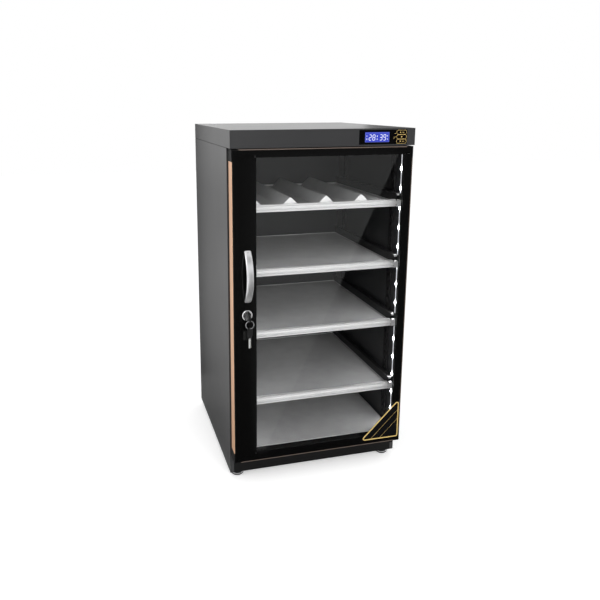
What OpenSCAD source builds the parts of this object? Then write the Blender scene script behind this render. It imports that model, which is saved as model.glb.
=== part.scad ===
// Camera dry cabinet with a glass door, sliding trays and a control head.
// X runs to the right, Y runs back from the door, Z runs up from the floor.

/* [Case] */
// Width over the side panels
case_w = 430; // [400:1:460]
// Depth from the front of the top cap to the back panel
case_d = 450; // [430:1:480]
// Height of the case without its feet
case_h = 820; // [810:1:850]
// Thickness of the folded steel sheet
sheet_t = 1.2; // [1:0.1:1.4]
// Height of the top cap
cap_h = 38.5; // [37:0.5:41]
// How far the case front lies behind the cap front
door_zone_d = 35; // [34.5:0.5:37]
// Width of the front flanges beside the opening
flange_w = 9; // [9:0.5:11]
// Height of the header flange over the opening
header_h = 13; // [12:0.5:14]
// Height of the plinth front, up to the sill of the opening
plinth_h = 56; // [56:1:58]
// Height of the inner floor above the base
floor_z = 50; // [49:1:52]

/* [Door] */
// Gap between the door edge and the side of the case
door_side_gap = 2.8; // [2.5:0.1:3.2]
// Gap between the door and the cap
door_top_gap = 2; // [2:0.5:3]
// Height of the door's lower edge above the base
door_z = 45; // [45:1:47]
// Thickness of the door
door_t = 28; // [27:0.5:28]
// Thickness of the coloured edge strips
edge_t = 2; // [1.6:0.1:2.2]
// Width of the black border on the lock side
border_lock_w = 54.7; // [52:0.1:58]
// Width of the black border on the hinge side
border_hinge_w = 21; // [20:0.5:23]
// Height of the black border at the top
border_top_h = 18; // [17:0.5:19]
// Height of the black border at the bottom
border_bottom_h = 22; // [21:0.5:24]
// Thickness of the frame's front lip
lip_t = 3; // [2.5:0.1:3.5]
// Depth of the rebate that the glass lies in
rebate_w = 4; // [3.5:0.1:4.5]
// Thickness of the glass pane
glass_t = 3.2; // [3:0.1:4]
// Distance from the hinge axis to the door's edge
hinge_in = 6; // [5.8:0.1:6.2]
// Distance from the hinge axis to the door's back face
hinge_back = 7; // [6.8:0.1:7]

/* [Handle] */
// Length of the bow handle
handle_len = 120; // [110:1:130]
// Width of the handle
handle_w = 16; // [14:0.5:18]
// How far the handle stands out of the door
handle_out = 26; // [24:0.5:28]
// Height of the handle's centre above the base
handle_z = 499; // [490:1:510]
// Distance of the handle from the door's edge
handle_in = 34.7; // [33:0.1:36]

/* [Lock] */
// Distance from the handle's centre down to the lock
lock_drop = 89; // [88:1:96]
// Distance of the lock from the door's edge
lock_in = 32.8; // [32:0.1:34]
// How far the key's bow stays in front of the door
lock_face_out = 4; // [3.5:0.5:5]
// Outer radius of the chrome bezel
lock_bezel_r = 12; // [11:0.5:13]
// Radius of the threaded barrel
lock_barrel_r = 9.4; // [9:0.1:10]
// Radius of the turning plug
lock_plug_r = 5.5; // [5:0.1:6]
// Radial gap round turning shafts
shaft_gap = 0.05; // [0.03:0.01:0.08]
// Reach of the cam from the plug's axis
cam_len = 31.5; // [30:0.5:32]
// Outer radius of the key ring
ring_r = 10; // [9.5:0.5:11]
// Radius of the ring's wire
ring_wire_r = 0.8; // [0.7:0.05:0.9]
// Width of a key's bow
key_bow_w = 22; // [21:0.5:23]
// Length of a key's bow
key_bow_len = 26; // [25:0.5:27]
// Thickness of a key's bow
key_bow_t = 2.2; // [2:0.1:2.2]
// Turn of the spare key about the upright
spare_turn = 45; // [35:1:50]

/* [Trays] */
// Height of the lowest slot above the inner floor
slot_start = 5.3; // [4:0.1:6]
// Gap between a tray's side and the open door
tray_door_gap = 1.7; // [1.6:0.1:2]
// Distance from the case front to the tray trims
tray_back = 6; // [6:0.5:7]
// Depth of the trays behind their trims
tray_d = 376; // [350:1:378]
// Height of a tray's upturned walls
tray_wall_h = 12; // [11:0.5:13]
// Height of the front trim
trim_h = 16; // [15:0.5:17]
// Depth of the front trim
trim_d = 12; // [11:0.5:13]
// Corner radius of the front trim
trim_r = 3.5; // [3:0.1:4]
// Thickness of the tray mats
mat_t = 10; // [9:0.5:11]
// Height of the foam waves above their base
wave_h = 24; // [20:1:28]
// Spacing of the foam waves
wave_step = 87.4; // [85:0.1:88]
// Distance from the foam's end to its first wave
wave_start = 45.5; // [43:0.5:47]

/* [Head] */
// Width of the control bezel
bezel_w = 116; // [112:1:120]
// Height of the control bezel
bezel_h = 32; // [31:0.5:33]
// Distance of the bezel from the case's right side
bezel_in = 20.5; // [18:0.5:24]
// How far the bezel stands out of the cap
bezel_proud = 0.8; // [0.6:0.1:1]
// Width of the display window
lcd_w = 59; // [56:1:62]
// Height of the display window
lcd_h = 22; // [20:0.5:23]
// Distance from the bezel's left end to the display
lcd_in = 13.8; // [12:0.1:15]
// Width of a button
button_w = 22; // [20:0.5:23]
// Height of a button
button_h = 7.4; // [7:0.1:7.8]
// Spacing of the buttons
button_step = 10; // [9.8:0.1:10.1]
// Travel of a button
button_travel = 0.8; // [0.6:0.1:1]

/* [Base and back] */
// Height of the levelling feet
foot_h = 15; // [14:0.5:18]
// Radius of a foot pad
foot_r = 15; // [13:0.5:16]
// Height of a foot pad
pad_h = 8; // [7:0.5:9]
// Radius of a foot's stud
stud_r = 4; // [3.5:0.1:4.5]
// Distance of the feet from the sides
foot_in = 22; // [20:0.5:25]
// Depth of the drying unit behind the case
unit_d = 16; // [14:1:20]
// Width of the drying unit
unit_w = 150; // [140:1:160]
// Height of the drying unit
unit_h = 96; // [90:1:104]
// Height of the drying unit's lower edge above the base
unit_z = 62; // [60:1:70]

/* [Hidden] */
$fn = 48;

// Overrun of every cut past the face that it opens
cut = 1;
// Gap between soft or moving pieces and their seats
rest_gap = 0.3;
// Gap round a piece that drops into a cut-out
fit_gap = 0.2;

// Colours
steel_black = [0.10, 0.10, 0.11];
frame_black = [0.03, 0.03, 0.03];
rose_gold = [0.72, 0.45, 0.30];
bright = [0.80, 0.80, 0.82];
mat_grey = [0.45, 0.45, 0.46];

// The whole case stands on its feet, centred on X and Y
key_rim = 3;
key_slot_w = 4;
key_y = -lock_face_out - key_bow_len;
slot_y = key_y + key_rim + key_slot_w / 2;
front_reach = key_bow_w / 2 * sin(spare_turn) + key_bow_t / 2 * cos(spare_turn) - slot_y;
front_y = -(case_d + unit_d - front_reach) / 2;
module placed() {
    translate([-case_w / 2, front_y, foot_h]) children();
}

// Case: places that several pieces share
case_y = door_zone_d;
back_y = case_d - sheet_t;
cap_z = case_h - cap_h;
ceiling_z = cap_z - sheet_t;
inner_w = case_w - 2 * sheet_t;
// Setback of the ceiling's edge, which shows as a seam under the cap
seam_in = sheet_t / 2;

// A sheet side wall with its front flange, seen from above
module side_plan() {
    union() {
        translate([0, case_y]) square([sheet_t, case_d - case_y]);
        translate([0, case_y]) square([flange_w, sheet_t]);
    }
}

module side_panel_left() {
    color(steel_black) placed() linear_extrude(ceiling_z) side_plan();
}

module side_panel_right() {
    color(steel_black) placed()
        translate([case_w, 0, 0]) mirror([1, 0, 0]) linear_extrude(ceiling_z) side_plan();
}

// Opening through the back panel for the drying unit
unit_wall_t = 1.5;
unit_lap = 12;
unit_x = (case_w - unit_w) / 2;
unit_hole_w = unit_w - 2 * unit_lap;
unit_hole_h = unit_h - 2 * unit_lap;

module back_panel() {
    color(steel_black) placed() difference() {
        translate([sheet_t, back_y, 0]) cube([inner_w, sheet_t, ceiling_z]);
        translate([unit_x + unit_lap, back_y - cut, unit_z + unit_lap])
            cube([unit_hole_w, sheet_t + 2 * cut, unit_hole_h]);
    }
}

// Flat ceiling with a header flange that the door seal meets
header_z = ceiling_z - header_h;
module ceiling_panel() {
    color(steel_black) placed() union() {
        translate([seam_in, case_y + seam_in, ceiling_z])
            cube([case_w - 2 * seam_in, case_d - case_y - 2 * seam_in, sheet_t]);
        translate([flange_w, case_y, header_z])
            cube([case_w - 2 * flange_w, sheet_t, header_h + sheet_t / 2]);
    }
}

module floor_panel() {
    color(steel_black) placed()
        translate([sheet_t, case_y + sheet_t, floor_z - sheet_t])
            cube([inner_w, back_y - case_y - sheet_t, sheet_t]);
}

// Plinth front with a folded foot that rests on the bottom plate
plinth_fold = 12;
module base_plinth() {
    color(steel_black) placed() union() {
        translate([flange_w, case_y, 0]) cube([case_w - 2 * flange_w, sheet_t, plinth_h]);
        translate([flange_w, case_y, sheet_t]) cube([case_w - 2 * flange_w, plinth_fold, sheet_t]);
    }
}

// Bottom plate with the four threaded bosses of the feet
boss_r = stud_r * 2;
boss_h = 16;
stud_len = 20;
foot_front_y = case_y + foot_in;
foot_back_y = case_d - foot_in;
foot_right_x = case_w - foot_in;
foot_places = [[foot_in, foot_front_y], [foot_right_x, foot_front_y],
    [foot_in, foot_back_y], [foot_right_x, foot_back_y]];

module bottom_plate() {
    color(steel_black) placed() difference() {
        union() {
            translate([sheet_t, case_y + sheet_t, 0])
                cube([inner_w, back_y - case_y - sheet_t, sheet_t]);
            for (p = foot_places) translate([p.x, p.y, 0]) cylinder(h = boss_h, r = boss_r);
        }
        for (p = foot_places) translate([p.x, p.y, -cut])
            cylinder(h = boss_h + 2 * cut, r = stud_r + shaft_gap);
    }
}

// A levelling foot: moulded pad, jam nut and stud
pad_bevel = 2;
nut_h = 4;
nut_r = stud_r * 1.7;
module foot(place) {
    placed() translate([place.x, place.y, -foot_h]) color(frame_black) union() {
        rotate_extrude() polygon([[0, 0], [foot_r - pad_bevel, 0], [foot_r, pad_bevel],
            [foot_r, pad_h / 2], [foot_r / 2, pad_h], [0, pad_h]]);
        cylinder(h = foot_h + boss_h, r = stud_r);
        translate([0, 0, pad_h - rest_gap]) cylinder(h = nut_h, r = nut_r, $fn = 6);
    }
}
module foot_front_left() { foot(foot_places[0]); }
module foot_front_right() { foot(foot_places[1]); }
module foot_back_left() { foot(foot_places[2]); }
module foot_back_right() { foot(foot_places[3]); }

// Control head in the front of the cap
bezel_x = case_w - bezel_in - bezel_w;
bezel_z = cap_z + (cap_h - bezel_h) / 2;
bezel_lap = 1.2;
bezel_plate_t = 2.4;
lcd_x = bezel_x + lcd_in;
lcd_z = bezel_z + (bezel_h - lcd_h) / 2;
button_x = bezel_x + bezel_w - button_w / 2 - 2.2 * bezel_lap;
button_z = bezel_z + bezel_h / 2;
board_gap = 9;
board_t = 1.6;
board_y = bezel_plate_t - bezel_proud + board_gap;
post_r = 2.2;
post_in = 4;

module top_cap() {
    color(steel_black) placed() difference() {
        translate([0, 0, cap_z]) cube([case_w, case_d, cap_h]);
        translate([sheet_t, case_y, cap_z - cut])
            cube([inner_w, back_y - case_y, cap_h - sheet_t + cut]);
        translate([sheet_t, sheet_t, cap_z + sheet_t])
            cube([inner_w, case_y, cap_h - 2 * sheet_t]);
        translate([bezel_x + bezel_lap, -cut, bezel_z + bezel_lap])
            cube([bezel_w - 2 * bezel_lap, sheet_t + 2 * cut, bezel_h - 2 * bezel_lap]);
        translate([hinge_x, hinge_y, cap_z - cut])
            cylinder(h = sheet_t + 2 * cut, r = pin_r + shaft_gap);
    }
}

// A flat oval standing in the XZ plane, its centre at the origin
module oval_bar(width, height, depth) {
    rotate([90, 0, 0]) mirror([0, 0, 1]) linear_extrude(depth) union() {
        square([width - height, height], center = true);
        for (side = [-1, 1]) translate([side * (width - height) / 2, 0]) circle(d = height);
    }
}

module control_bezel() {
    color(frame_black) placed() difference() {
        union() {
            translate([bezel_x, -bezel_proud, bezel_z]) cube([bezel_w, bezel_proud, bezel_h]);
            translate([bezel_x + bezel_lap + fit_gap, -bezel_proud, bezel_z + bezel_lap + fit_gap])
                cube([bezel_w - 2 * (bezel_lap + fit_gap), bezel_plate_t,
                    bezel_h - 2 * (bezel_lap + fit_gap)]);
            for (px = [post_in + bezel_lap, lcd_in + lcd_w + 2 * post_in], pz = [post_in + bezel_lap])
                translate([bezel_x + px, 0, bezel_z + pz]) rotate([-90, 0, 0])
                    cylinder(h = board_y, r = post_r);
        }
        translate([lcd_x, -bezel_proud - cut, lcd_z])
            cube([lcd_w, bezel_plate_t + 2 * cut, lcd_h]);
        for (k = [-1, 0, 1])
            translate([button_x, -bezel_proud - cut, button_z + k * button_step])
                oval_bar(button_w + 2 * fit_gap, button_h + 2 * fit_gap, bezel_plate_t + 2 * cut);
    }
}

// Display glass on its backlight block, standing on the board
lcd_lap = 1.5;
module lcd_module() {
    color([0.10, 0.25, 0.85]) placed() union() {
        translate([lcd_x + fit_gap, 0, lcd_z + fit_gap])
            cube([lcd_w - 2 * fit_gap, board_y, lcd_h - 2 * fit_gap]);
        translate([lcd_x - lcd_lap, bezel_plate_t - bezel_proud, lcd_z - lcd_lap / 2])
            cube([lcd_w + 2 * lcd_lap, board_gap / 2, lcd_h + lcd_lap]);
    }
}

// Circuit board with the three key switches behind the buttons
switch_w = 6;
switch_gap = 0.4;
button_flange_t = 1;
button_back = bezel_plate_t - bezel_proud + rest_gap / 2 + button_flange_t;
switch_y = button_back + button_travel + switch_gap;
module control_board() {
    color([0.10, 0.35, 0.20]) placed() union() {
        translate([bezel_x + post_in, board_y, bezel_z + post_in / 2])
            cube([bezel_w - 2 * post_in, board_t, bezel_h - post_in]);
        for (k = [-1, 0, 1])
            translate([button_x - switch_w / 2, switch_y, button_z + k * button_step - switch_w / 2])
                cube([switch_w, board_y + board_t / 2 - switch_y, switch_w]);
    }
}

// A button with the flange that keeps it behind the bezel
button_out = 0.5;
module control_button(k) {
    color([0.15, 0.13, 0.08]) placed() translate([button_x, 0, button_z + k * button_step]) union() {
        translate([0, -bezel_proud - button_out, 0])
            oval_bar(button_w, button_h, bezel_proud + button_out + button_back);
        translate([0, button_back - button_flange_t, 0])
            oval_bar(button_w + bezel_lap, button_step - 6 * fit_gap, button_flange_t);
    }
}
module button_up() { control_button(1); }
module button_set() { control_button(0); }
module button_down() { control_button(-1); }

// Door: its own box, edge to edge
door_x = door_side_gap;
door_w = case_w - 2 * door_side_gap;
door_h = cap_z - door_top_gap - door_z;
door_right = door_x + door_w;
door_top = door_z + door_h;
hinge_x = door_right - hinge_in;
hinge_y = door_t - hinge_back;
glass_x = door_x + border_lock_w;
glass_right = door_right - border_hinge_w;
glass_z = door_z + border_bottom_h;
glass_top = door_top - border_top_h;

// Door seen from above, with its back edge rounded about the hinge axis
module door_plan() {
    difference() {
        translate([door_x, 0]) square([door_w, door_t]);
        difference() {
            translate([hinge_x, hinge_y]) square([hinge_in + cut, hinge_back + cut]);
            translate([hinge_x, hinge_y]) circle(r = hinge_back);
        }
    }
}

// A slice of the door's plan between two X places
module plan_slice(x_from, x_to) {
    intersection() {
        door_plan();
        translate([x_from, -cut]) square([x_to - x_from, door_t + 2 * cut]);
    }
}

// Bars of the frame behind the lip
hinge_bar_in = 1.2;
rail_in = door_z + edge_t;
rail_top_in = door_top - edge_t;
lock_bar_right = glass_x - rebate_w;
hinge_bar_x = hinge_x - hinge_bar_in;

module door_stile_lock() {
    color(frame_black) placed() difference() {
        union() {
            translate([door_x + edge_t, 0, glass_z - rebate_w])
                cube([lock_bar_right - door_x - edge_t, door_t, glass_top - glass_z + 2 * rebate_w]);
            translate([lock_bar_right - cut, 0, glass_z]) cube([rebate_w + cut, lip_t, glass_top - glass_z]);
        }
        translate([lock_x, -cut, lock_z]) rotate([-90, 0, 0])
            cylinder(h = door_t + 2 * cut, r = lock_barrel_r + fit_gap);
        for (end = [-1, 1]) translate([handle_x, -cut, handle_z + end * screw_span / 2])
            rotate([-90, 0, 0]) cylinder(h = door_t + 2 * cut, r = screw_r + fit_gap);
        for (end = [-1, 1])
            translate([handle_x, door_t - screw_head_h, handle_z + end * screw_span / 2])
                rotate([-90, 0, 0]) cylinder(h = screw_head_h + cut, r = screw_head_r + fit_gap);
    }
}

module door_stile_hinge() {
    color(frame_black) placed() union() {
        translate([0, 0, glass_z - rebate_w]) linear_extrude(glass_top - glass_z + 2 * rebate_w)
            plan_slice(hinge_bar_x, door_right - edge_t);
        translate([glass_right, 0, glass_z])
            cube([hinge_bar_x - glass_right + cut, lip_t, glass_top - glass_z]);
    }
}

// A rail of the frame; the lip stands out towards the glass
module door_rail(z_outer, z_bar, z_lip) {
    bar_low = min(z_outer, z_bar);
    lip_low = min(z_outer, z_lip);
    difference() {
        union() {
            translate([0, 0, bar_low]) linear_extrude(abs(z_bar - z_outer))
                plan_slice(door_x + edge_t, door_right - edge_t);
            translate([door_x + edge_t, 0, lip_low])
                cube([door_w - 2 * edge_t, lip_t, abs(z_lip - z_outer)]);
        }
        // Room for the lips of the stiles, which end level with the opening
        translate([door_x, -cut, min(z_bar, z_lip)])
            cube([border_lock_w, lip_t + 2 * cut, rebate_w]);
        translate([glass_right, -cut, min(z_bar, z_lip)])
            cube([border_hinge_w, lip_t + 2 * cut, rebate_w]);
        // Bore for the hinge bush
        translate([hinge_x, hinge_y, bar_low - cut])
            cylinder(h = abs(z_bar - z_outer) + 2 * cut, r = bush_r);
    }
}

module door_rail_top() {
    color(frame_black) placed() door_rail(rail_top_in, glass_top + rebate_w, glass_top);
}

module door_rail_bottom() {
    color(frame_black) placed() door_rail(rail_in, glass_z - rebate_w, glass_z);
}

// Glass pane behind the lip
glass_gap = rest_gap;
module door_glass() {
    color([0.6, 0.65, 0.68, 0.35]) placed()
        translate([lock_bar_right + glass_gap, lip_t, glass_z - rebate_w + glass_gap])
            cube([hinge_bar_x - lock_bar_right - 2 * glass_gap, glass_t,
                glass_top - glass_z + 2 * (rebate_w - glass_gap)]);
}

// Rose-coloured strips on the four edges, between the corner caps
corner_w = 16;
corner_h = 26;
module door_edge_strips() {
    color(rose_gold) placed() union() {
        translate([0, 0, door_z + corner_h]) linear_extrude(door_h - 2 * corner_h) union() {
            plan_slice(door_x - cut, door_x + edge_t);
            plan_slice(door_right - edge_t, door_right + cut);
        }
        for (z = [door_z, door_top - edge_t]) translate([door_x + corner_w, 0, z])
            cube([door_w - 2 * corner_w, door_t, edge_t]);
    }
}

// Black moulded caps round the corners
module corner_cap(x_from, x_to, x_side_from, x_side_to, z_edge, z_side) {
    union() {
        translate([0, 0, z_edge]) linear_extrude(edge_t) plan_slice(x_from, x_to);
        translate([0, 0, z_side]) linear_extrude(corner_h) plan_slice(x_side_from, x_side_to);
    }
}

module door_corner_caps() {
    color(frame_black) placed() difference() {
        union() for (top = [0, 1]) {
            z_edge = top == 1 ? door_top - edge_t : door_z;
            z_side = top == 1 ? door_top - corner_h : door_z;
            corner_cap(door_x, door_x + corner_w, door_x, door_x + edge_t, z_edge, z_side);
            corner_cap(door_right - corner_w, door_right, door_right - edge_t, door_right,
                z_edge, z_side);
        }
        translate([hinge_x, hinge_y, door_z - cut]) cylinder(h = door_h + 2 * cut, r = bush_r);
    }
}

// Hinge: a pin from the cap, a pin on a bracket below, bushes in the door
pin_r = 2.2;
bush_wall = 1.3;
bush_r = pin_r + bush_wall;
pin_len = 9;
bush_len = 11;
pin_head_r = 5;
pin_head_h = 2;
bracket_t = 1.4;
bracket_w = 20;
bracket_drop = 24;
module hinge_bushes() {
    color([0.85, 0.85, 0.82]) placed() difference() {
        for (z = [door_z, door_top - bush_len]) translate([hinge_x, hinge_y, z])
            cylinder(h = bush_len, r = bush_r);
        for (z = [door_z, door_top - bush_len]) translate([hinge_x, hinge_y, z - cut])
            cylinder(h = bush_len + 2 * cut, r = pin_r + shaft_gap);
    }
}

module hinge_pin_top() {
    color(bright) placed() translate([hinge_x, hinge_y, 0]) union() {
        translate([0, 0, door_top - pin_len])
            cylinder(h = pin_len + door_top_gap + sheet_t, r = pin_r);
        translate([0, 0, cap_z + sheet_t]) cylinder(h = pin_head_h, r = pin_head_r);
    }
}

// Bracket screwed to the plinth, with a pin and the washer that the door sits on
washer_t = 1.2;
bracket_top = door_z - washer_t - rest_gap;
module hinge_bracket_bottom() {
    color(bright) placed() union() {
        translate([hinge_x - bracket_w / 2, hinge_y - pin_head_r, bracket_top - bracket_t])
            cube([bracket_w - pin_head_r / 2, case_y - hinge_y + pin_head_r, bracket_t]);
        translate([hinge_x - bracket_w / 2, case_y - bracket_t, bracket_top - bracket_drop])
            cube([bracket_w - pin_head_r / 2, bracket_t, bracket_drop]);
        translate([hinge_x, hinge_y, bracket_top]) cylinder(h = washer_t, r = pin_head_r);
        translate([hinge_x, hinge_y, bracket_top]) cylinder(h = washer_t + rest_gap + pin_len, r = pin_r);
    }
}

// Seal round the opening, between the case front and the back of the door
seal_w = 6;
seal_t = case_y - door_t - rest_gap;
seal_low = plinth_h - seal_w - sheet_t;
seal_top = header_z + seal_w + sheet_t;
module door_seal() {
    color([0.05, 0.05, 0.05]) placed() difference() {
        translate([flange_w - seal_w, case_y - seal_t, seal_low])
            cube([case_w - 2 * (flange_w - seal_w), seal_t, seal_top - seal_low]);
        translate([flange_w, case_y - seal_t - cut, seal_low + seal_w])
            cube([case_w - 2 * flange_w, seal_t + 2 * cut, seal_top - seal_low - 2 * seal_w]);
    }
}

// Bow handle: two arcs of one crescent, drawn in the YZ plane
handle_x = door_x + handle_in;
lock_x = door_x + lock_in;
lock_z = handle_z - lock_drop;
handle_foot = 9;
bow_t = 5.5;
screw_r = 2;
screw_head_r = 3.6;
screw_head_h = 2.2;
screw_span = handle_len - handle_foot;
function arc_r(chord, rise) = (chord * chord / 4 + rise * rise) / (2 * rise);

module handle_side() {
    outer_r = arc_r(handle_len, handle_out);
    inner_r = arc_r(handle_len - 2 * handle_foot, handle_out - bow_t);
    intersection() {
        difference() {
            translate([outer_r - handle_out, 0]) circle(r = outer_r, $fn = 96);
            translate([inner_r - handle_out + bow_t, 0]) circle(r = inner_r, $fn = 96);
        }
        translate([-handle_out - cut, -handle_len]) square([handle_out + cut, 2 * handle_len]);
    }
}

module door_handle() {
    color(bright) placed() difference() {
        translate([handle_x - handle_w / 2, 0, handle_z])
            rotate([90, 0, 90]) linear_extrude(handle_w) handle_side();
        for (end = [-1, 1]) translate([handle_x, -handle_foot / 2, handle_z + end * screw_span / 2])
            rotate([-90, 0, 0]) cylinder(h = handle_foot, r = screw_r);
    }
}

module handle_screws() {
    color(bright) placed() for (end = [-1, 1])
        translate([handle_x, 0, handle_z + end * screw_span / 2]) rotate([-90, 0, 0]) union() {
            translate([0, 0, -handle_foot / 2]) cylinder(h = door_t + handle_foot / 2, r = screw_r);
            translate([0, 0, door_t - screw_head_h]) cylinder(h = screw_head_h, r = screw_head_r);
        }
}

// Cam lock: bezel and barrel stay, plug, cam and key turn
bezel_flange_t = 2.5;
barrel_len = 32;
nut_len = 3;
nut_across = 26;
lock_turn_gap = 0.5;
cam_y = case_y + sheet_t + lock_turn_gap;
cam_t = 2;
cam_w = 14;
keyway_w = 3;
module lock_body() {
    color(bright) placed() translate([lock_x, 0, lock_z]) rotate([-90, 0, 0]) difference() {
        union() {
            translate([0, 0, -bezel_flange_t]) cylinder(h = bezel_flange_t, r = lock_bezel_r);
            cylinder(h = barrel_len, r = lock_barrel_r);
        }
        translate([0, 0, -bezel_flange_t - cut])
            cylinder(h = barrel_len + bezel_flange_t + 2 * cut, r = lock_plug_r + shaft_gap);
        translate([0, 0, -bezel_flange_t - cut])
            cylinder(h = bezel_flange_t / 2 + cut, r = lock_barrel_r);
    }
}

module lock_nut() {
    color(bright) placed() translate([lock_x, door_t, lock_z]) rotate([-90, 0, 0]) difference() {
        cylinder(h = nut_len, d = nut_across, $fn = 6);
        translate([0, 0, -cut]) cylinder(h = nut_len + 2 * cut, r = lock_barrel_r);
    }
}

// Turning plug with its keyway and the square end that carries the cam
plug_face = bezel_flange_t / 2;
cam_screw_r = 4;
module lock_plug() {
    color(bright) placed() translate([lock_x, 0, lock_z]) rotate([-90, 0, 0]) difference() {
        union() {
            translate([0, 0, -plug_face]) cylinder(h = cam_y + plug_face, r = lock_plug_r);
            translate([0, 0, cam_y]) cylinder(h = cam_t, r = cam_screw_r / 2);
            translate([0, 0, cam_y + cam_t]) cylinder(h = cam_t, r = cam_screw_r);
        }
        translate([-key_blade_t / 2 - fit_gap, -key_blade_h / 2 - fit_gap, -plug_face - cut])
            cube([key_blade_t + 2 * fit_gap, key_blade_h + 2 * fit_gap, key_blade_len + cut]);
    }
}

// Cam: hangs straight down when unlocked and turns behind the side flange
module lock_cam() {
    color(bright) placed() translate([lock_x, cam_y, lock_z]) rotate([-90, 0, 0])
        linear_extrude(cam_t) difference() {
            union() {
                circle(d = cam_w);
                translate([-cam_w / 2, 0]) square([cam_w, cam_len - cam_w / 2]);
                translate([0, cam_len - cam_w / 2]) circle(d = cam_w);
            }
            circle(r = cam_screw_r / 2);
        }
}

// A key lying in the XY plane: the blade runs along +Y from the bow's shoulder
key_blade_t = 2;
key_blade_h = 7;
key_blade_len = 26;
key_slot_len = 13;
key_tooth = 1.6;
tooth_step = 3.6;
module key_outline() {
    difference() {
        union() {
            translate([0, key_bow_w / 2]) circle(d = key_bow_w);
            translate([-key_bow_w / 2, key_bow_w / 2])
                square([key_bow_w, key_bow_len - key_bow_w / 2 - key_rim]);
            translate([-key_bow_w / 2 + key_rim, key_bow_len - key_rim - cut])
                square([key_bow_w - 2 * key_rim, key_rim + cut]);
        }
        translate([0, key_rim + key_slot_w / 2]) union() {
            square([key_slot_len - key_slot_w, key_slot_w], center = true);
            for (side = [-1, 1]) translate([side * (key_slot_len - key_slot_w) / 2, 0])
                circle(d = key_slot_w);
        }
    }
}

module key_blade() {
    difference() {
        translate([-key_blade_h / 2, key_bow_len - cut]) square([key_blade_h, key_blade_len + cut - tooth_step]);
        for (k = [0 : 4]) translate([key_blade_h / 2, key_bow_len + tooth_step * (k + 1)])
            circle(r = key_tooth, $fn = 16);
    }
}

module key_solid() {
    union() {
        translate([0, 0, -key_bow_t / 2]) linear_extrude(key_bow_t) key_outline();
        translate([0, 0, -key_blade_t / 2]) linear_extrude(key_blade_t) key_blade();
    }
}

// Key in the lock, its bow upright
module lock_key() {
    color(frame_black) placed() translate([lock_x, key_y, lock_z]) rotate([0, 90, 0])
        key_solid();
}

// Ring through the bow's slot, hanging in the XZ plane
ring_mid_r = ring_r - ring_wire_r;
slot_low_z = lock_z - key_slot_len / 2;
ring_z = slot_low_z + ring_wire_r + rest_gap - ring_mid_r;
module key_ring() {
    color(bright) placed() translate([lock_x, slot_y, ring_z]) rotate([90, 0, 0])
        rotate_extrude($fn = 64) translate([ring_mid_r, 0]) circle(r = ring_wire_r, $fn = 16);
}

// Spare key on the ring, turned about the upright
spare_top = ring_z - ring_mid_r + ring_wire_r + key_rim + rest_gap;
module spare_key() {
    color(frame_black) placed() translate([lock_x, slot_y, spare_top]) rotate([0, 0, spare_turn])
        rotate([-90, 0, 0]) key_solid();
}

// Bare triangular plate with a raised rim in the door's lower corner
plate_w = 102;
plate_h = 102;
plate_in = 2.5;
plate_t = 0.8;
plate_rim_w = 2.2;
plate_rim_t = 0.4;
module plate_outline(inset) {
    polygon([[door_right - edge_t - plate_in - inset, door_z + border_bottom_h / 2 + inset],
        [door_right - edge_t - plate_in - inset, door_z + border_bottom_h / 2 + plate_h - 2.4 * inset],
        [door_right - edge_t - plate_in - plate_w + 2.4 * inset, door_z + border_bottom_h / 2 + inset]]);
}
module corner_plate() {
    color(frame_black) placed() difference() {
        rotate([90, 0, 0]) linear_extrude(plate_t) plate_outline(0);
        translate([0, -plate_t + plate_rim_t, 0]) rotate([90, 0, 0])
            linear_extrude(plate_rim_t + cut) plate_outline(plate_rim_w);
    }
}

// Trays: places that trays, rails and uprights share
tray_right = hinge_x - hinge_back - tray_door_gap;
tray_x = case_w - tray_right;
tray_w = tray_right - tray_x;
tray_y = case_y + tray_back;
tray_body_y = tray_y + trim_d;
// The uprights have this many slot steps, and the trays hang on four of them
slot_steps = 38;
tray_slots = [31, 23, 15, 6];
slot_step = (header_z - sheet_t - floor_z - slot_start) / slot_steps;
function tray_z(k) = floor_z + slot_start + slot_step * tray_slots[k - 1];

module tray(k) {
    color(bright) placed() translate([tray_x, tray_body_y, tray_z(k)]) difference() {
        cube([tray_w, tray_d, tray_wall_h]);
        translate([sheet_t, sheet_t, sheet_t])
            cube([tray_w - 2 * sheet_t, tray_d - 2 * sheet_t, tray_wall_h]);
    }
}
module tray_1() { tray(1); }
module tray_2() { tray(2); }
module tray_3() { tray(3); }
module tray_4() { tray(4); }

// Front trim: a bright bar with a thin upper lip, a rounded nose between two grooves and a lower lip
trim_lip_back = 2;
trim_upper_lip = 1.6;
trim_lower_lip = 3;
trim_groove_h = 1.1;
trim_groove_d = 4.6;
module trim_side() {
    nose_low = trim_lower_lip + trim_groove_h;
    nose_high = trim_h - trim_upper_lip - trim_groove_h;
    union() {
        translate([trim_groove_d, 0]) square([trim_d - trim_groove_d, trim_h]);
        translate([trim_lip_back, trim_h - trim_upper_lip])
            square([trim_d - trim_lip_back, trim_upper_lip]);
        translate([trim_r, nose_low]) square([trim_d - trim_r, nose_high - nose_low]);
        translate([0, nose_low + trim_r]) square([trim_d, nose_high - nose_low - 2 * trim_r]);
        for (z = [nose_low + trim_r, nose_high - trim_r]) translate([trim_r, z]) circle(r = trim_r);
        translate([trim_lip_back / 2, 0]) square([trim_d - trim_lip_back / 2, trim_lower_lip]);
    }
}
module tray_trim(k) {
    color(bright) placed() translate([tray_x, tray_y, tray_z(k)])
        rotate([90, 0, 90]) linear_extrude(tray_w) trim_side();
}
module tray_trim_1() { tray_trim(1); }
module tray_trim_2() { tray_trim(2); }
module tray_trim_3() { tray_trim(3); }
module tray_trim_4() { tray_trim(4); }

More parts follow.
